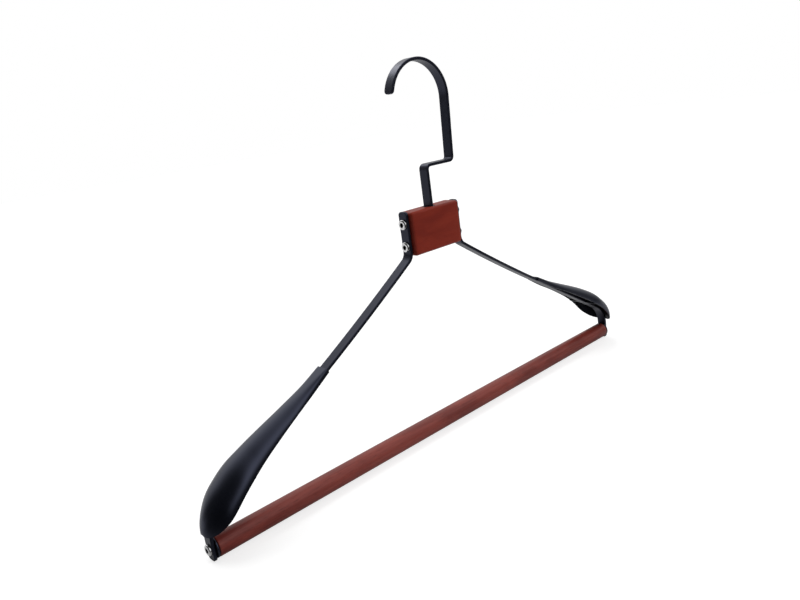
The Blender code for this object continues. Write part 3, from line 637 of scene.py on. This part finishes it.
def lock_nut():
    """Radius at each height = the smaller of the hexagon's and the cone's or collar's."""
    low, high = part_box("hook_lock_nut")
    top, base = high.z, low.z
    flat = (high.x - low.x) / 2
    bore = SHANK_RADIUS + GAP
    angle = np.arange(ROUND_SIDES) / ROUND_SIDES * 2 * math.pi
    hexagon = flat / np.cos(angle % (math.pi / 3) - math.pi / 6)
    collar = flat * COLLAR_SHARE
    step = top - COLLAR_HEIGHT
    heights = np.array([base, base, base + NUT_CHAMFER, step, step + COLLAR_STEP,
                        top - COLLAR_EASE, top, top])
    limits = np.array([bore, flat * FACE_SHARE, flat * CORNER_SHARE, flat * CORNER_SHARE, collar,
                       collar, collar - COLLAR_EASE, bore])
    radii = np.minimum(hexagon[None], limits[:, None])
    grid = turn(heights, radii, (0, 0, 0), (0, 0, 1), ROUND_SIDES)
    return body_from("stem_lock_nut", (grid, True, True))


finish_piece(ring("stem_washer", "hook_washer", SHANK_RADIUS + GAP, WASHER_EASE),
             ZINC, "hook", "hook_washer")
finish_piece(lock_nut(), ZINC, "hook", "hook_lock_nut")

# %% [markdown]
# The block is a sanded piece of hardwood. A cube with bevelled edges would do, but a formula
# gives the rounding without seams: each point of a sharp box is drawn to the nearest point of
# a smaller box inside it and set back out by the edge radius. The recess for the hook's head,
# the bore, the counterbore below and the four insert holes are cut from it.

# %% Wooden block
BLOCK_ROUND = 2.3 * MM
BLOCK_POINTS = 9
CUT = 3.0 * MM
CUT_STEP = 0.01 * MM
FLARE = 0.3 * MM
POCKET_DEPTH = 12.1 * MM


def lines_along(half):
    """Grid lines across one side of the box, close together where the edge turns."""
    edge = half - BLOCK_ROUND * (1 - np.sin(np.linspace(0, math.pi / 2, BLOCK_POINTS)))
    flat = np.linspace(-half + BLOCK_ROUND, half - BLOCK_ROUND, BLOCK_POINTS)[1:-1]
    return np.concatenate([-edge[::-1], flat, edge])


def rounded_box(low, high):
    """Nearest core point c of a box point q, plus radius * (q - c) / |q - c|, on all six sides."""
    centre = (np.array(low) + np.array(high)) / 2
    half = (np.array(high) - np.array(low)) / 2
    grids = []
    for axis in range(3):
        first, second = [k for k in range(3) if k != axis]
        a, b = np.meshgrid(lines_along(half[first]), lines_along(half[second]), indexing="ij")
        for sign in (-1, 1):
            side = np.zeros(a.shape + (3,))
            side[..., axis] = sign * half[axis]
            side[..., first] = a
            side[..., second] = b
            core = np.clip(side, BLOCK_ROUND - half, half - BLOCK_ROUND)
            out = side - core
            out /= np.linalg.norm(out, axis=-1, keepdims=True)
            grids.append((centre + core + BLOCK_ROUND * out, False, False))
    return grids


def plug(name, radius, start, end, flare=0.0):
    """A round cutter between two points, opening out by flare at its start."""
    start, end = np.array(start, float), np.array(end, float)
    length = np.linalg.norm(end - start)
    axis = (end - start) / length
    heights = np.array([0, 0, CUT, CUT + flare + CUT_STEP, length, length])
    radii = np.array([0, radius + flare, radius + flare, radius, radius, 0])
    return body_from(name, (turn(heights, radii, start, axis, ROUND_SIDES), False, True))


wood = body_from("wooden_block", *rounded_box(block_low, block_high))
washer_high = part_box("hook_washer")[1]
cutters = [plug("recess", HEAD_RADIUS + GAP, (0, 0, block_high.z + CUT),
                (0, 0, head_base - GAP), FLARE),
           plug("bore", SHANK_RADIUS + GAP, (0, 0, block_high.z), (0, 0, block_low.z)),
           plug("counterbore", washer_high.x + GAP, (0, 0, block_low.z - CUT),
                (0, 0, washer_high.z + GAP), FLARE)]
for side in (-1, 1):
    for place in ("upper", "lower"):
        label = "left" if side < 0 else "right"
        low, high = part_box(f"{label}_{place}_block_insert")
        z = (low.z + high.z) / 2
        reach = max(abs(low.x), abs(high.x)) - POCKET_DEPTH
        cutters.append(plug(f"{label}_{place}_pocket", (high.z - low.z) / 2 + GAP,
                            (side * (block_high.x + CUT), 0, z), (side * reach, 0, z)))
carve(wood, "DIFFERENCE", *cutters)
finish_piece(wood, BLOCK_WOOD, "hanger_frame", "centre_block")

# %% [markdown]
# Each arm is one strap. It lies flat on the block's end, bends out under it, runs down in a
# very slight hollow, and bends again to the upright tab that holds the bar. Both of its ends
# have well-rounded corners. The right arm is the left one's mirror image, apart from its top
# end: the left strap stands a little above the block, and the right one is level with it.

# %% Strap arms
bar_low, bar_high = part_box("trouser_bar")
BAR_HEIGHT = (bar_low.z + bar_high.z) / 2
STRAP_X = block_high.x + GAP + STOCK_HALF
CORNER_DROP = 0.9 * MM
TOP_BEND = 8.0 * MM
END_BEND = 25.0 * MM
TOP_SLOPE = 33.3 * DEG
ARM_SLOPE = 30.0 * DEG
BOW_LENGTH = 105.0 * MM
TAB_X = -arm_low.x - STOCK_HALF
HOLE_RADIUS = 2.3 * MM


def arm_route(top):
    """The walk down an arm, from the strap's top at height top to its tab's end."""
    corner = tangent(TOP_BEND, math.pi / 2 - TOP_SLOPE)
    slack = (TOP_SLOPE - ARM_SLOPE) * corner / BOW_LENGTH
    legs = [(top - (block_low.z - CORNER_DROP) - corner, 0),
            (TOP_BEND * (math.pi / 2 - TOP_SLOPE + slack), math.pi / 2 - TOP_SLOPE + slack),
            (BOW_LENGTH - corner, TOP_SLOPE - slack - ARM_SLOPE)]
    start = (STRAP_X, top)
    _, x, z, _ = walk(start, -math.pi / 2, legs)
    to_elbow = (TAB_X - x[-1]) / math.cos(ARM_SLOPE)
    elbow_z = z[-1] - to_elbow * math.sin(ARM_SLOPE)
    elbow = tangent(END_BEND, math.pi / 2 - ARM_SLOPE)
    legs += [(to_elbow - elbow, 0), (END_BEND * (math.pi / 2 - ARM_SLOPE), ARM_SLOPE - math.pi / 2),
             (elbow_z - arm_low.z - elbow, 0)]
    return walk(start, -math.pi / 2, legs)


arm_walk = arm_route(block_high.z)
print("right arm, straightened:", round(arm_walk[0][-1] / MM, 1), "mm")
for side, label in ((-1, "left"), (1, "right")):
    route = arm_route(arm_high.z) if side < 0 else arm_walk
    arm = body_from(f"{label}_strap", (bend(flat_strip(route[0][-1]), route, side), False, True))
    holes = []
    for place in ("upper_block", "lower_block", "bar"):
        low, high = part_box(f"{label}_{place}_screw")
        z = (low.z + high.z) / 2
        x = side * (TAB_X if place == "bar" else STRAP_X)
        holes.append(plug(f"{label}_{place}_hole", HOLE_RADIUS,
                          (x - CUT, 0, z), (x + CUT, 0, z)))
    carve(arm, "DIFFERENCE", *holes)
    finish_piece(arm, BLACK_COAT, "hanger_frame", f"{label}_arm_strap")

# %% [markdown]
# The shoulders spread a jacket's weight. Each is a thin moulded shell that begins as a collar
# round the strap and widens into a spoon, hollow underneath. It is a loft: across, an arch
# between two rims; along, a few given widths, crowns and skirts joined by a smooth
# curve, and closed towards the tip like a superellipse, with the rim turned up at the toe.
# The sections lean with the arm at first and stand upright at the tip. A Solidify modifier
# gives the wall. A notched rib inside grips the strap.

# %% Shoulder shells
SHELL_START = 116.9 * MM
SHELL_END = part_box("right_shoulder_shell")[1].x
SHELL_HALF_WIDTH = 16.0 * MM
SHELL_HEIGHT = 11.4 * MM
SHELL_SKIRT = 11.1 * MM
TOE_RISE = 4.5 * MM
COLLAR_WALL = 0.95 * MM
SHELL_WALL = 0.9 * MM
RIB_THICKNESS = 1.6 * MM
STATION_SHARES = (0.0, 0.15, 0.30, 0.45, 0.60, 0.75, 0.88, 1.0)
WIDTH_SHARES = (0.0, 0.415, 0.57, 0.69, 0.83, 1.0, 0.97, 0.67)
CROWN_SHARES = (0.0, 0.32, 0.52, 0.73, 0.90, 0.98, 0.83, 0.66)
SKIRT_SHARES = (0.09, 0.11, 0.02, -0.01, 0.0, 0.15, 0.62, 1.0)
ROUND_SHARES = (0.24, 0.70, 1.0, 1.0, 1.0, 1.0, 1.0, 1.0)
TIP_SHARE = 0.85
TIP_CURVE_SHARE = 2.1
TOE_SHARE = 0.915
UPRIGHT_SHARE = 0.30
FULLNESS_SHARE = 0.9
RIB_SHARE = 0.66
SHELL_POINTS = 80
TIP_POINTS = 40
ARCH_POINTS = 57
RIB_POINTS = 41
SHELL_CREASE = 40 * DEG


def through(values, u):
    """A smooth curve through the stations: a cubic between each two, sloped by its neighbours."""
    stations = np.array(STATION_SHARES)
    values = np.asarray(values, float)
    slopes = np.gradient(values, stations)
    i = np.clip(np.searchsorted(stations, u, side="right") - 1, 0, len(stations) - 2)
    width = stations[i + 1] - stations[i]
    t = (u - stations[i]) / width
    return ((1 + 2 * t) * (1 - t) ** 2 * values[i] + t * (1 - t) ** 2 * width * slopes[i]
            + t * t * (3 - 2 * t) * values[i + 1] + t * t * (t - 1) * width * slopes[i + 1])


straight_x = float(np.interp(arm_walk[0][-1] / 2, arm_walk[0], arm_walk[1]))
straight_z = float(np.interp(arm_walk[0][-1] / 2, arm_walk[0], arm_walk[2]))


def arm_height(x):
    """Height of the arm's straight run at x, carried on past its end."""
    return straight_z - (x - straight_x) * math.tan(ARM_SLOPE)


def shoulder(u, angle, side):
    """Outer surface at share u: y = width * cos^p, height = rim + (crown - rim) * sin^q."""
    widths = SHELL_HALF_WIDTH * np.array(WIDTH_SHARES)
    crowns = SHELL_HEIGHT * np.array(CROWN_SHARES)
    widths[0] = STOCK_HALF_WIDTH + GAP + COLLAR_WALL
    crowns[0] = STOCK_HALF + GAP + COLLAR_WALL
    past = np.clip((u - TIP_SHARE) / (1 - TIP_SHARE), 0, 1)
    closing = (1 - past ** TIP_CURVE_SHARE) ** (1 / TIP_CURVE_SHARE)
    half_width = through(widths, u) * closing
    toe = np.clip((u - TOE_SHARE) / (1 - TOE_SHARE), 0, 1)
    skirt = through(SHELL_SKIRT * np.array(SKIRT_SHARES), u)
    rim = TOE_RISE * (1 - np.sqrt(1 - toe * toe)) - skirt
    crown = (through(crowns, u) + skirt - TOE_RISE) * closing + TOE_RISE - skirt
    power = through(ROUND_SHARES, u)
    ease = np.clip((u - UPRIGHT_SHARE) / (1 - UPRIGHT_SHARE), 0, 1)
    lean = ARM_SLOPE * (1 - ease * ease * (3 - 2 * ease))
    x = SHELL_START + (SHELL_END - SHELL_START) * u
    reach = np.cos(angle)
    height = rim + (crown - rim) * np.abs(np.sin(angle)) ** (power * FULLNESS_SHARE)
    return np.stack([side * (x + np.sin(lean) * height),
                     -half_width * np.sign(reach) * np.abs(reach) ** power,
                     arm_height(x) + np.cos(lean) * height], axis=-1)


def rib(label, side):
    """A cross wall along the section at RIB_SHARE, half sunk in the wall, slotted for the strap."""
    arch = np.linspace(0, math.pi, RIB_POINTS)
    section = shoulder(np.full(RIB_POINTS, RIB_SHARE), arch, side)
    middle = np.array([section[:, 0].mean(), 0, arm_height(abs(section[:, 0].mean()))])
    along = np.array([side * math.cos(ARM_SLOPE), 0, -math.sin(ARM_SLOPE)])
    up = np.array([side * math.sin(ARM_SLOPE), 0, math.cos(ARM_SLOPE)])
    across = (section - middle)[:, 1]
    height = (section - middle) @ up
    inset = SHELL_WALL / 2
    slot = STOCK_HALF_WIDTH + GAP
    foot = -STOCK_HALF
    outer = np.stack([across * (1 - inset / across.max()),
                      np.maximum(height - inset, foot)], axis=1)
    outer[[0, -1], 1] = foot
    roof = STOCK_HALF + GAP
    notch = np.array([(slot, foot), (slot, roof), (-slot, roof), (-slot, foot)])
    outline = np.concatenate([outer, notch])
    flat = middle + outline[:, :1] * (0, 1, 0) + outline[:, 1:] * up
    count = len(outline)
    points = np.concatenate([flat - along * RIB_THICKNESS / 2, flat + along * RIB_THICKNESS / 2])
    faces = [list(range(count)), list(range(2 * count - 1, count - 1, -1))]
    faces += [(i, i + count, (i + 1) % count + count, (i + 1) % count) for i in range(count)]
    return solid_from(f"{label}_rib", points, faces)


def shoulder_shell(label, side):
    """The outer surface on a grid, given its wall and joined to its rib."""
    tip = np.sin(np.linspace(0, math.pi / 2, TIP_POINTS))
    along = np.concatenate([np.linspace(0, TIP_SHARE, SHELL_POINTS, endpoint=False),
                            TIP_SHARE + (1 - TIP_SHARE) * tip])
    across = np.linspace(0, math.pi, ARCH_POINTS)
    u, angle = np.meshgrid(along, across, indexing="ij")
    shell = body_from(f"{label}_shoulder", (shoulder(u, angle, side), False, False))
    top = max(shell.data.polygons, key=lambda face: face.center.z)
    if top.normal.z < 0:
        shell.data.flip_normals()
    wall = shell.modifiers.new("wall", "SOLIDIFY")
    wall.thickness = SHELL_WALL
    wall.offset = -1
    wall.use_even_offset = False
    # The inner wall takes the low-gloss copy, which keeps the hollow dark as painted shade.
    wall.material_offset = 1
    shell.data.materials.append(BLACK_PLASTIC)
    shell.data.materials.append(SHADED_INNER_PLASTIC)
    bake(shell)
    return carve(shell, "UNION", rib(label, side))


for side, label in ((-1, "left"), (1, "right")):
    finish_piece(shoulder_shell(label, side), BLACK_PLASTIC, "hanger_frame",
                 f"{label}_shoulder_shell", SHELL_CREASE)

# %% [markdown]
# The trouser bar is a dowel. Its profile runs from the bottom of one insert hole, out along
# the hole, over the end face and its eased edge, along the bar, and back in at the other end,
# so the turned surface is closed and needs no cutter. A disc of black plastic sits on each end.

# %% Trouser bar and end discs
BAR_RADIUS = (bar_high.z - bar_low.z) / 2
POCKET = 3.3 * MM
POCKET_EDGE = 0.1 * MM
BAR_EDGE = 0.9 * MM
BAR_END_LENGTH = 6.0 * MM
BAR_END = bar_high.x
BAR_POINTS = 30
DISC_EASE = 0.5 * MM

end = [(0, BAR_END - POCKET_DEPTH), (POCKET, BAR_END - POCKET_DEPTH), (POCKET, BAR_END),
       (BAR_RADIUS, BAR_END), (BAR_RADIUS, BAR_END - BAR_END_LENGTH)]
half_profile = rounded(end, (0, POCKET_EDGE, BAR_EDGE), 8)
run = np.linspace(BAR_END - BAR_END_LENGTH, 0, BAR_POINTS)[1:-1]
straight = np.stack([np.full(len(run), BAR_RADIUS), run], axis=1)
half_profile = np.concatenate([half_profile, straight])
bar_profile = np.concatenate([half_profile, half_profile[::-1] * (1, -1)])
bar = body_from("wooden_bar", (turn(bar_profile[:, 1], bar_profile[:, 0], (0, 0, BAR_HEIGHT),
                                    (1, 0, 0), ROUND_SIDES), False, True))
finish_piece(bar, BAR_WOOD, "hanger_frame", "trouser_bar")
for label in ("left", "right"):
    disc = ring(f"{label}_end_disc", f"{label}_bar_cap", HOLE_RADIUS, DISC_EASE, (1, 0, 0))
    finish_piece(disc, BLACK_PLASTIC, "hanger_frame", f"{label}_bar_cap")

# %% [markdown]
# Six button-head socket screws hold it together. The head is low and domed, with a flat land
# round the hexagon socket, and the shank is threaded. The dome is a quarter of an ellipse, and
# the socket is a six-sided cutter with a shallow cone at its mouth and its floor. Chrome hardly
# reaches into so small a hole, so the cutter leaves its own dull steel on what it cuts, painted
# nearly black as the shade in the hole.

# %% Socket screws
CROWN_RADIUS = 2.5 * MM
HEAD_RISE = 1.5 * MM
RIM_RISE = 0.5 * MM
RIM_EASE = 0.12 * MM
NECK = 0.5 * MM
SCREW_LENGTH = 14.0 * MM
SCREW_POINT = 0.5 * MM
SOCKET_FLATS = 2.5 * MM
SOCKET_DEPTH = 1.6 * MM
SOCKET_TIP = 0.4 * MM
MOUTH_DEPTH = 0.25 * MM
MOUTH_FLARE = 0.5 * MM
DOME_POINTS = 12


def socket_screw(name, node, side):
    """A turned head and threaded shank on the node's axis, with a hexagon cut into the head."""
    low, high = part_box(node)
    axis = (side, 0, 0)
    head_radius = (high.z - low.z) / 2
    outer = high.x if side > 0 else low.x
    seat = (outer - side * HEAD_RISE, 0, (low.z + high.z) / 2)
    angle = np.linspace(math.pi / 2, 0, DOME_POINTS)
    dome = np.stack([CROWN_RADIUS + (head_radius - CROWN_RADIUS) * np.cos(angle),
                     RIM_RISE + (HEAD_RISE - RIM_RISE) * np.sin(angle)], axis=1)
    rim = [(head_radius, RIM_EASE), (head_radius - RIM_EASE, 0), (SHANK_RADIUS, 0)]
    above = np.vstack([[(0, HEAD_RISE)], dome, rim])
    heights, radii = threaded(above, -NECK, SCREW_POINT - SCREW_LENGTH, SHANK_RADIUS,
                              SCREW_POINT)
    screw = body_from(name, (turn(heights, radii, seat, axis), False, True))
    corner = SOCKET_FLATS / math.sqrt(3)
    wide = corner + MOUTH_FLARE
    floor = HEAD_RISE - SOCKET_DEPTH
    heights = np.array([CUT, CUT, HEAD_RISE, HEAD_RISE - MOUTH_DEPTH, floor, floor - SOCKET_TIP])
    radii = np.array([0, wide, wide, corner, corner, 0])
    hexagon = body_from(name + "_socket", (turn(heights, radii, seat, axis, sides=6), False, True))
    # The cutter's faces take the dull socket steel, darkened as painted shade.
    for made, share in ((screw, 0), (hexagon, 1)):
        made.data.materials.append(CHROME)
        made.data.materials.append(SOCKET_STEEL_AND_SHADE)
        made.data.polygons.foreach_set("material_index",
                                       np.full(len(made.data.polygons), share))
    return carve(screw, "DIFFERENCE", hexagon)


for side, label in ((-1, "left"), (1, "right")):
    for place in ("upper_block", "lower_block", "bar"):
        node = f"{label}_{place}_screw"
        finish_piece(socket_screw(f"{label}_{place}_socket_screw", node, side), CHROME,
                     "hanger_frame", node)

# %% [markdown]
# The six brass inserts are sunk in the wood behind the straps and the discs, so their packed
# solids stay as they are and only get their brass.

# %% Threaded inserts
for label in ("left", "right"):
    for place in ("upper_block", "lower_block", "bar"):
        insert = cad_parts[f"{label}_{place}_insert"]
        insert.data.materials.clear()
        insert.data.materials.append(BRASS)

# %% [markdown]
# The set is a pale floor in a white studio with two dim sides, on the left and low on the
# right. They are what keeps the blacks black: the shoulders and the hook mirror them where
# they face left or down, and the white where they face back and up. Towards the horizon the
# white fades by half, which shapes the sheen across the arms. The floor is duller in a
# reflection than it looks, more so in front than behind, and dark in front on the left, where
# a table's edge would be.
#
# White comes from colour and not from more light: to the camera the surround is plain white,
# in a reflection it is that white with its dim sides, and as light it is a grey fill. The
# floor adds some white of its own, so that only the soft shadow shows. A broad lamp from
# above and a large one at the front right fill the wood's colour without being mirrored, and
# a small one over the hook draws the highlight along its arc.

# %% Floor, world and lamps
FLOOR_DROP = 0.3 * MM
FLOOR_SIZE = 8.0
FILL = 0.65
DIM = 0.04
HORIZON = 0.5
DIM_LEFT = (-0.92, -0.05, 0.40)
DIM_RIGHT = (0.78, -0.42, -0.46)
DIM_FLOOR = (-0.35, -0.94, 0.0)
BEHIND = (0, 1, 0)
UP = (0, 0, 1)
LEFT_EDGE = (0.25, 0.80)
RIGHT_EDGE = (0.38, 0.95)
SKY_EDGE = (0.0, 0.5)
DIM_FLOOR_EDGE = (0.05, 0.13)
BEHIND_EDGE = (0.0, 0.12)
BLACK = (0, 0, 0, 1)
WHITE = (1, 1, 1, 1)
FLOOR_COLOUR = 0.50
FLOOR_WHITE = 0.72
FLOOR_MIRRORED = 0.18
FLOOR_BEHIND = 0.45


def ray(finish, kind):
    """1 where the ray that looks is of this kind, and 0 elsewhere."""
    return finish.node("ShaderNodeLightPath", output=f"Is {kind} Ray")


def seen_directly(finish):
    """1 for camera, glossy and transmitted rays, and 0 for the light that falls on things."""
    seen = ray(finish, "Camera") + ray(finish, "Glossy") + ray(finish, "Transmission")
    return seen.math("MINIMUM", seen, 1.0)


def floor_finish():
    """Glow = seen * (1 - shade) * (1 - mirrored * dulled), where dulled is less behind."""
    finish = Finish("pale_floor", Roughness=0.9, Specular_IOR_Level=0.2,
                    Emission_Strength=FLOOR_WHITE)
    spot = finish.place()
    mirrored = ray(finish, "Glossy")
    shade = finish.along(spot, DIM_FLOOR).between(*DIM_FLOOR_EDGE) * mirrored * (1 - DIM)
    colour = finish.mix((FLOOR_COLOUR,) * 3 + (1,), BLACK, shade)
    behind = finish.along(spot, BEHIND).between(*BEHIND_EDGE)
    dulled = 1 - FLOOR_MIRRORED - behind * (FLOOR_BEHIND - FLOOR_MIRRORED)
    glow = seen_directly(finish) * (1 - shade) * (1 - mirrored * dulled)
    lift = finish.mix(BLACK, WHITE, glow)
    return finish.feed(Base_Color=colour, Emission_Color=lift)


half = FLOOR_SIZE / 2
floor_z = CAD_BOX[0].z - FLOOR_DROP
corners = np.array([[(-half, -half, floor_z), (half, -half, floor_z)],
                    [(-half, half, floor_z), (half, half, floor_z)]])
floor = body_from("floor", (corners, False, False))
if floor.data.polygons[0].normal.z < 0:
    floor.data.flip_normals()
floor.data.materials.append(floor_finish())


class Surround(Finish):
    """The world, with the same way of adding nodes as a material."""

    def __init__(self):
        self.material = bpy.data.worlds.new("surround")
        self.material.use_nodes = True
        self.tree = self.material.node_tree
        self.shader = self.tree.nodes["Background"]


surround = Surround()
surround.shader.inputs["Color"].default_value = WHITE
heading = surround.node("ShaderNodeTexCoord", output="Generated")
left, right, above = [surround.along(heading, side) for side in (DIM_LEFT, DIM_RIGHT, UP)]
room = (1 - left.between(*LEFT_EDGE) * (1 - DIM)) * (1 - right.between(*RIGHT_EDGE) * (1 - DIM))
room = room * (HORIZON + above.between(*SKY_EDGE) * (1 - HORIZON))
light = room * (seen_directly(surround) * (1 - FILL) + FILL)
surround.feed(Strength=light + ray(surround, "Camera") * (1 - light))
bpy.context.scene.world = surround.material


def lit(name, data, place, turn):
    """A lamp in the scene at a place, turned, from its data."""
    lamp = bpy.data.objects.new(name, data)
    lamp.location = place
    lamp.rotation_mode = "QUATERNION"
    lamp.rotation_quaternion = turn
    bpy.context.scene.collection.objects.link(lamp)
    return lamp


def soft_lamp(name, place, aim, width, watts):
    """A round soft box that looks from its place to its aim."""
    data = bpy.data.lights.new(name, "AREA")
    data.shape = "DISK"
    data.size = width
    data.energy = watts
    return lit(name, data, place, (Vector(aim) - Vector(place)).to_track_quat("-Z", "Y"))


def far_lamp(name, towards, width, strength):
    """Light that comes evenly from one broad patch of the sky, alike on the whole floor."""
    data = bpy.data.lights.new(name, "SUN")
    data.angle = width
    data.energy = strength
    return lit(name, data, (0, 0, 0), Vector(towards).to_track_quat("Z", "Y"))


middle = (CAD_BOX[0] + CAD_BOX[1]) / 2
far_lamp("over", (-0.10, 0.35, 0.93), width=40 * DEG, strength=1.0).visible_glossy = False
soft_lamp("front", (0.82, -1.43, 0.45), middle, width=1.1, watts=9.0).visible_glossy = False
soft_lamp("over_hook", (0.02, 0.19, 0.17), (0, 0, -0.01), width=0.12, watts=0.10)
bpy.context.scene.view_settings.view_transform = "Standard"
